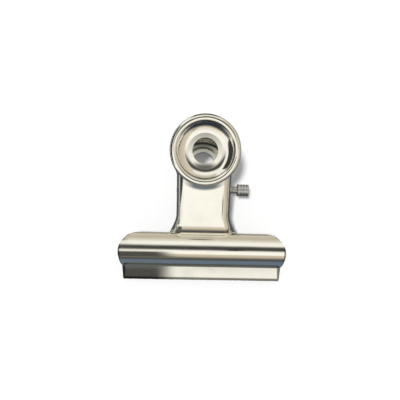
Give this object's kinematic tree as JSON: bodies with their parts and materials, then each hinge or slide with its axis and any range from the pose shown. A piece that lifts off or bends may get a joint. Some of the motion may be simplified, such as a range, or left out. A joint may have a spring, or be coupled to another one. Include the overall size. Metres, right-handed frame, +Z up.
{
  "type": "bulldog clip",
  "caption": "Sprung bulldog clip: two nickel-plated sheet-steel levers with half-round jaws, flat lips and dished round pads, hinged on a pin with a grooved knob.",
  "frame": {"origin": "centre of the bounding box in X and Y, on the plane the back lever lies on", "axes": "X across the jaws, +Y from the jaws to the pads, +Z up, out of the back lever through the front lever"},
  "size_m": [0.057, 0.0564, 0.0292],
  "materials": {
    "nickel_plate": "bright nickel plating, warm, slightly worn",
    "steel_pin": "turned steel, dull plating",
    "spring_wire": "drawn spring steel"
  },
  "bodies": {
    "back": {"back_lever": "nickel_plate", "torsion_spring": "spring_wire"},
    "front": {"front_lever": "nickel_plate", "hinge_pin": "steel_pin", "pin_knob": "steel_pin"}
  },
  "joints": [
    {"name": "lever_pivot", "type": "hinge", "parent": "back", "child": "front", "pos_m": [0, 0.00314, 0.0098], "axis": [-1, 0, 0], "range_deg": [0, 54], "stiffness_Nm_per_rad": 0.43, "springref_deg": -28.65, "deforming": ["torsion_spring"]}
  ]
}
